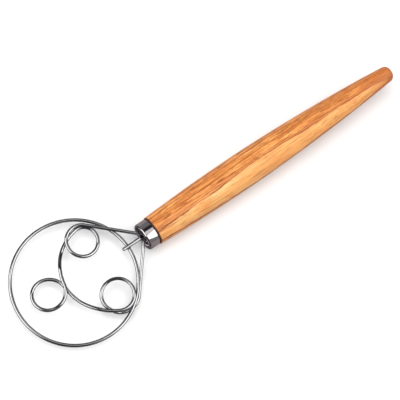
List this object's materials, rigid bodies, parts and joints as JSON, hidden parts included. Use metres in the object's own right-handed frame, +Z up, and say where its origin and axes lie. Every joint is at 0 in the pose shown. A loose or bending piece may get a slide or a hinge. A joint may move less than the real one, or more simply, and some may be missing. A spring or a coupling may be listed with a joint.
{
  "type": "dough whisk",
  "caption": "Dough whisk with a turned wooden handle, steel end cap, round wire ring and an inner wire bent into small loops, for mixing dough and batter.",
  "frame": {"origin": "middle of the underside of the bounding box, on the surface that the whisk lies on", "axes": "+X runs from the wire head to the butt of the handle, +Z is up, away from the surface; the handle's axis leans 1.5 degrees, head end down"},
  "size_m": [0.339, 0.0926, 0.027],
  "materials": {
    "wood": "oiled ring-porous hardwood, orange brown with a paler side and fine dark grain lines",
    "cap_steel": "polished stainless steel",
    "wire_steel": "bright drawn stainless steel wire",
    "weld_steel": "dull spot weld with a light heat tint",
    "glue": "cured adhesive"
  },
  "bodies": {
    "root": {"wooden_handle": "wood", "end_cap": "cap_steel", "outer_ring": "wire_steel", "centre_rod": "wire_steel", "loop_wire": "wire_steel", "ring_weld": "weld_steel", "bore_glue": "glue"}
  },
  "joints": []
}
